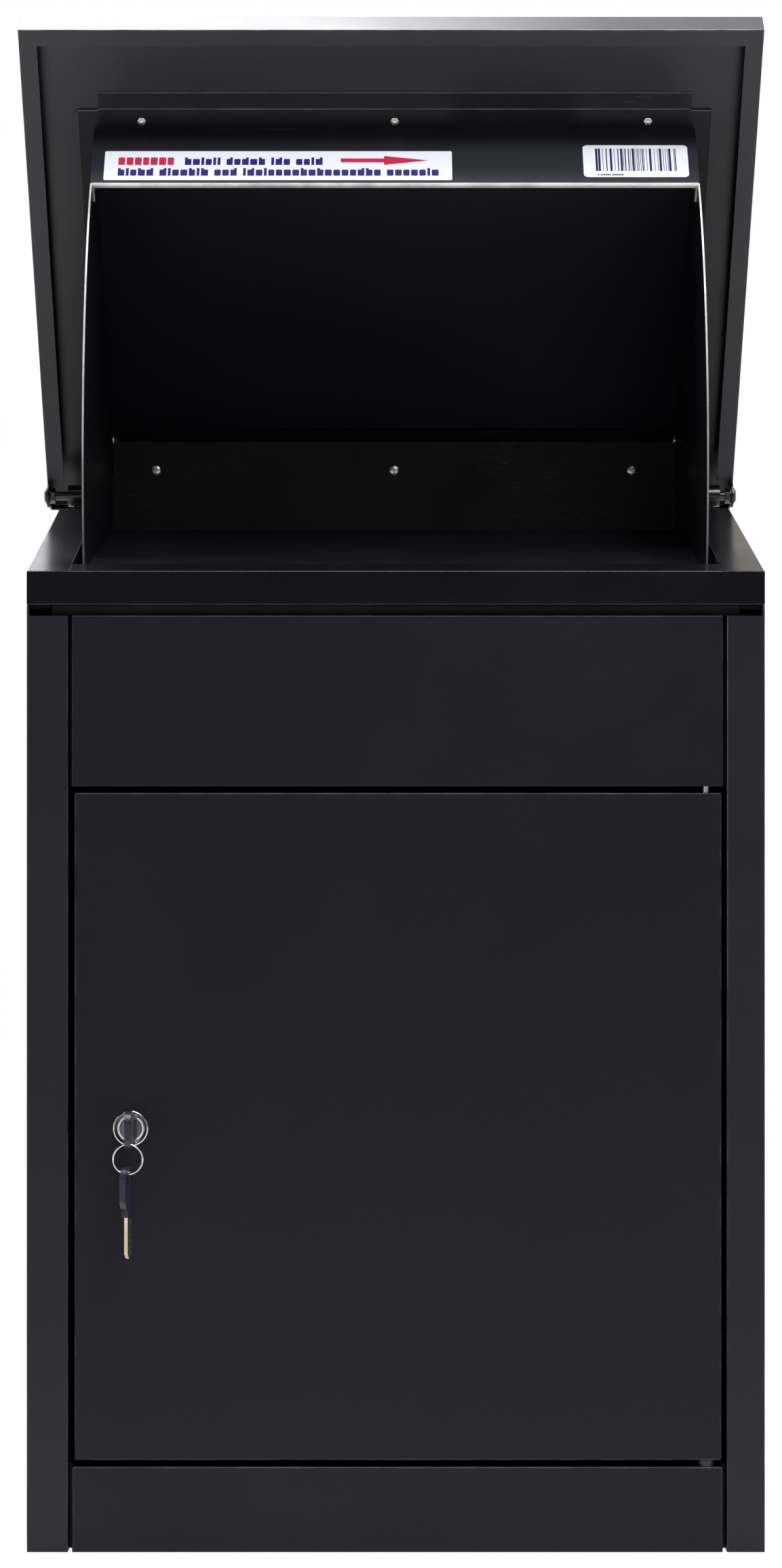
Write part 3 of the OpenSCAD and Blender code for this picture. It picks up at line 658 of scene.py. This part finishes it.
def make_lock_housing():
    """The lock's barrel behind a face with a round bead and a shallow groove inside it."""
    low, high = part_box("lock_housing")
    middle = (low + high) / 2
    face_r = (high.x - low.x) / 2
    stand = 2.2 * MM
    back = -(high.y - low.y - stand)
    barrel_r, bore_r, bead = 9.4 * MM, 6.56 * MM, 0.9 * MM
    profile = [(back, bore_r), (back, barrel_r), (0, barrel_r), (0, face_r), (stand - bead, face_r)]
    profile += [
        (stand - bead + bead * math.sin(a), face_r - bead + bead * math.cos(a))
        for a in (math.radians(d) for d in (20, 40, 60, 80, 100, 120, 140))
    ]
    groove_r, face = face_r - 2.6 * MM, stand - 0.5 * MM
    profile += [(face - 0.4 * MM, groove_r), (face, groove_r - 0.3 * MM), (face, bore_r + 0.3 * MM)]
    profile += [(face - 0.3 * MM, bore_r), (back, bore_r)]
    bm = lathe(profile, 64)
    bmesh.ops.remove_doubles(bm, verts=bm.verts, dist=WELD)
    bm.transform(facing((middle.x, low.y + stand, middle.z), (0, -1, 0)))
    finish_piece(bm, "lock_housing_turned", "door", "lock_chrome", ["lock_housing"], sharp=45)


# ---------------------------------------------------------------- lid frame and labels

LID_OPEN = math.radians(49.9)
LIP_FORWARD = 268 * MM
LIP_BELOW = 34.6 * MM
LABEL_TILT = math.atan2(9, 54.7)
LABEL_T = 0.2 * MM
INK_T = 0.03 * MM


def lid_matrix():
    pivot = Vector(JOINTS["lid_hinge"]["pos_m"])
    return Matrix.Translation((0, pivot.y, pivot.z)) @ Matrix.Rotation(-LID_OPEN, 4, "X")


def in_lid(point):
    """A point of the lid's own frame, with +Y behind the pivot and +Z above, in the row frame."""
    return lid_matrix() @ Vector(point)


def label_matrix():
    """Moves a drawing's X and Y to along the label panel and up from its lip, and +Z out of it."""
    to_lip = Matrix.Translation((0, -LIP_FORWARD, -LIP_BELOW))
    return lid_matrix() @ to_lip @ Matrix.Rotation(LABEL_TILT + math.pi / 2, 4, "X")


def rounded_box(x0, y0, x1, y1, radius, steps=5):
    """The outline of a rectangle with round corners."""
    corners = [(x1 - radius, y1 - radius), (x0 + radius, y1 - radius),
               (x0 + radius, y0 + radius), (x1 - radius, y0 + radius)]
    outline = []
    for quarter, (x, y) in enumerate(corners):
        for i in range(steps + 1):
            a = math.pi / 2 * (quarter + i / steps)
            outline.append((x + radius * math.cos(a), y + radius * math.sin(a)))
    return outline


def greeked_words(lengths, x, y, height, rng, risers=0.35):
    """Words as rows of plain blocks, 0.8 of the row high, some with a narrow riser at one side.
    Without risers, every block is as high as the row."""
    outlines = []
    stem, gap = height * 0.24, height * 0.13
    top = y + (height if not risers else height * 0.8)
    for length in lengths:
        for _ in range(length):
            narrow = risers and rng.random() < 0.2
            wide = stem if narrow else height * rng.uniform(0.5, 0.6)
            x1 = x + wide
            if narrow:
                outlines.append([(x, y), (x1, y), (x1, y + height), (x, y + height)])
            elif rng.random() >= risers:
                outlines.append(rounded_box(x, y, x1, top, height * 0.1, 2))
            elif rng.random() < 0.6:
                outlines.append([
                    (x, y), (x1, y), (x1, top), (x + stem, top), (x + stem, y + height), (x, y + height),
                ])
            else:
                outlines.append([
                    (x, y), (x1, y), (x1, y + height), (x1 - stem, y + height), (x1 - stem, top), (x, top),
                ])
            x += wide + gap
        x += height * 0.4
    return outlines


def bar_code(x0, x1, y0, y1, rng):
    """Upright bars of one to four modules with gaps between them."""
    module = 0.36 * MM
    outlines, x = [], x0
    while x < x1:
        bar = module * rng.choice((1, 1, 1, 1, 2, 4))
        outlines.append([(x, y0), (x + bar, y0), (x + bar, y1), (x, y1)])
        x += bar + module * rng.choice((1, 2, 3, 4, 5))
    return outlines


def make_label(node, corner, prints):
    """A vinyl label with round corners and its printing, which stands a hair proud of it."""
    to_panel = label_matrix()
    low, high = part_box(node)
    near = to_panel.inverted() @ Vector((low.x, high.y, high.z))
    far = to_panel.inverted() @ Vector((high.x, low.y, low.z))
    y0, y1 = sorted((near.y, far.y))
    sheet_outline = rounded_box(low.x, y0 + LABEL_T, high.x, y1 - LABEL_T, corner)
    shapes = [(prism(sheet_outline, 0, LABEL_T), 0)]
    materials = [MATERIALS["label_stock"]]
    for material, outlines in prints:
        materials.append(material)
        shapes += [
            (prism(outline, LABEL_T, LABEL_T + INK_T), len(materials) - 1) for outline in outlines
        ]
    whole = bmesh.new()
    for shape, index in shapes:
        for face in shape.faces:
            face.material_index = index
        mesh = bpy.data.meshes.new("part")
        shape.to_mesh(mesh)
        whole.from_mesh(mesh)
        bpy.data.meshes.remove(mesh)
    whole.transform(to_panel)
    finish_piece(whole, node + "_printed", "lid", "label_stock", [node], materials)


def make_labels():
    rng = random.Random(5)
    red = printed("print_red", (0.58, 0.02, 0.07), 0.35)
    blue = printed("print_blue", (0.02, 0.012, 0.15), 0.35)
    black = printed("print_black", (0.014, 0.010, 0.06), 0.35)
    row = 7.6 * MM
    left, upper, lower = -179 * MM, 19 * MM, 8.3 * MM
    first = greeked_words([7], left, upper, row, rng, risers=0)
    rest = greeked_words([6, 5, 3, 4], left + 43 * MM, upper, row, rng)
    second = greeked_words([5, 7, 3, 18, 7], left, lower, row, rng)
    arrow_x0, arrow_x1, head_x, arrow_y = -35 * MM, 22 * MM, -7 * MM, 23.6 * MM
    shaft, head = 2 * MM, 4.5 * MM
    arrow = [
        (arrow_x0, arrow_y - shaft), (head_x, arrow_y - shaft), (head_x, arrow_y - head),
        (arrow_x1, arrow_y), (head_x, arrow_y + head), (head_x, arrow_y + shaft),
        (arrow_x0, arrow_y + shaft),
    ]
    make_label("notice_label", 1.2 * MM, [(red, first + [arrow]), (blue, rest + second)])
    bars = bar_code(130 * MM, 183 * MM, 13 * MM, 35.5 * MM, rng)
    row_under = greeked_words([1, 6, 6], 131 * MM, 8.6 * MM, 1.8 * MM, rng)
    make_label("barcode_label", 3 * MM, [(black, bars + row_under)])


def make_key_ring():
    """A split ring: two turns of flat wire that lie on each other and step across at the split."""
    low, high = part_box("key_ring")
    middle = (low + high) / 2
    radius = (high.x - low.x) / 2
    wire_r = (high.y - low.y) / 2
    turns, steps, sides = 1.94, 150, 10
    half_axial, half_radial = wire_r * 0.47, wire_r * 0.75
    bm = bmesh.new()
    rings = []
    for i in range(steps + 1):
        t = i / steps
        a = math.pi / 2 + 0.3 + 2 * math.pi * turns * t
        step = min(1, max(0, (t - 0.44) / 0.12))
        across = wire_r * 0.5 * (2 * step * step * (3 - 2 * step) - 1)
        centre = Vector((math.cos(a), 0, math.sin(a))) * (radius - half_radial)
        out = Vector((math.cos(a), 0, math.sin(a)))
        ring = []
        for k in range(sides):
            b = 2 * math.pi * (k + 0.5) / sides
            rise = Vector((0, across + half_axial * math.sin(b), 0))
            point = centre + out * (half_radial * math.cos(b)) + rise
            ring.append(bm.verts.new(middle + point))
        rings.append(ring)
    for one, two in zip(rings, rings[1:]):
        for k in range(sides):
            bm.faces.new([one[k], one[(k + 1) % sides], two[(k + 1) % sides], two[k]])
    bm.faces.new(rings[0][::-1])
    bm.faces.new(rings[-1])
    finish_piece(bm, "key_ring_split", "ring", "ring_steel", ["key_ring"], sharp=50)


# ---------------------------------------------------------------- pieces

# The nodes that keep their shape and get rounded edges: how wide at a bend, and how wide at a cut
ROUNDED = [
    ("box_powder_coat", 1.1, 0.22, [
        "side_panel_left", "side_panel_right", "back_panel", "base_panel", "neck_frame",
        "door_stiffener"]),
    ("front_powder_coat", 1.1, 0.22, [
        "front_upper_panel", "front_lower_panel", "door_skin"]),
    ("hood_powder_coat", 1.1, 0.22, [
        "hood_front", "hood_side_left", "hood_side_right", "hood_back"]),
    ("lid_powder_coat", 1.0, 0.2, ["lid_skin", "lid_stiffener", "lid_rear_rail"]),
    ("drum_powder_coat", 0.6, 0.3, [
        "drum_side_left", "drum_side_right", "drum_label_panel", "drum_back_panel",
        "drum_floor_panel", "throat_baffle"]),
    ("hinge_black", 0.5, 0.3, [
        "hinge_block_left", "hinge_block_right", "lid_pivot_bolts", "lid_pivot_nuts"]),
    ("zinc_hardware", 0.3, 0.2, [
        "lock_strike", "door_pivot_pins", "lock_nut", "lock_cam", "cam_screw"]),
    ("lock_chrome", 0.35, 0.25, ["lock_plug"]),
    ("key_brass", 0.2, 0.15, ["key_blade", "spare_key_blade"]),
    ("key_plastic", 0.8, 0.8, ["key_bow", "spare_key_bow"]),
    ("bush_nylon", 0.2, 0.2, ["door_pivot_bushes"]),
]


def body_of(node):
    return frame["nodes"][node]["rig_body"]


def make_floor():
    bm = bmesh.new()
    bmesh.ops.create_grid(bm, x_segments=8, y_segments=8, size=12)
    mesh = bpy.data.meshes.new("floor")
    bm.to_mesh(mesh)
    bm.free()
    mesh.materials.append(pale_floor())
    floor = link(bpy.data.objects.new("floor", mesh))


# The soft lights: place, the point that each is aimed at, size, radiance and colour
SOFTBOXES = {
    "key_softbox": ((-0.61, 0.5, 2.4), (-0.25, 0.2, 0.6), (1.0, 1.25), 13, (1, 1, 1)),
    "ceiling_softbox": ((0, 0.3, 2.8), (0, 0.3, 0), (3.2, 3.0), 1.35, (1, 1, 1)),
    "rim_softbox": ((0.12, -0.4, 2.5), (0, -0.2, 0.6), (1.1, 0.5), 22, (1, 1, 1)),
    "label_softbox": ((0.32, -1.3, 2.45), (0.08, -0.1, 0.85), (0.9, 0.4), 27, (0.82, 0.87, 1)),
    "front_softbox": ((0.9, -1.9, 2.3), (0, 0, 0.8), (1.2, 0.9), 5, (1, 1, 1)),
    "left_softbox": ((-2.2, -0.2, 0.9), (0, 0, 0.6), (1.2, 1.8), 3, (1, 1, 1)),
    "right_softbox": ((2.2, 0.1, 0.9), (0, 0, 0.6), (1.2, 1.8), 3, (1, 0.9, 0.78)),
}

make_camera()
make_world(0.06, 1.75, 0.5)
make_floor()
for name, settings in SOFTBOXES.items():
    make_softbox(name, *settings)

MATERIALS = make_materials()
for slot, bend, cut, nodes in ROUNDED:
    for node in nodes:
        soften(node, body_of(node), slot, bend * MM, cut * MM)
make_hardware()
make_lock_housing()
make_labels()
make_key_ring()

bpy.context.scene.view_settings.view_transform = "Standard"
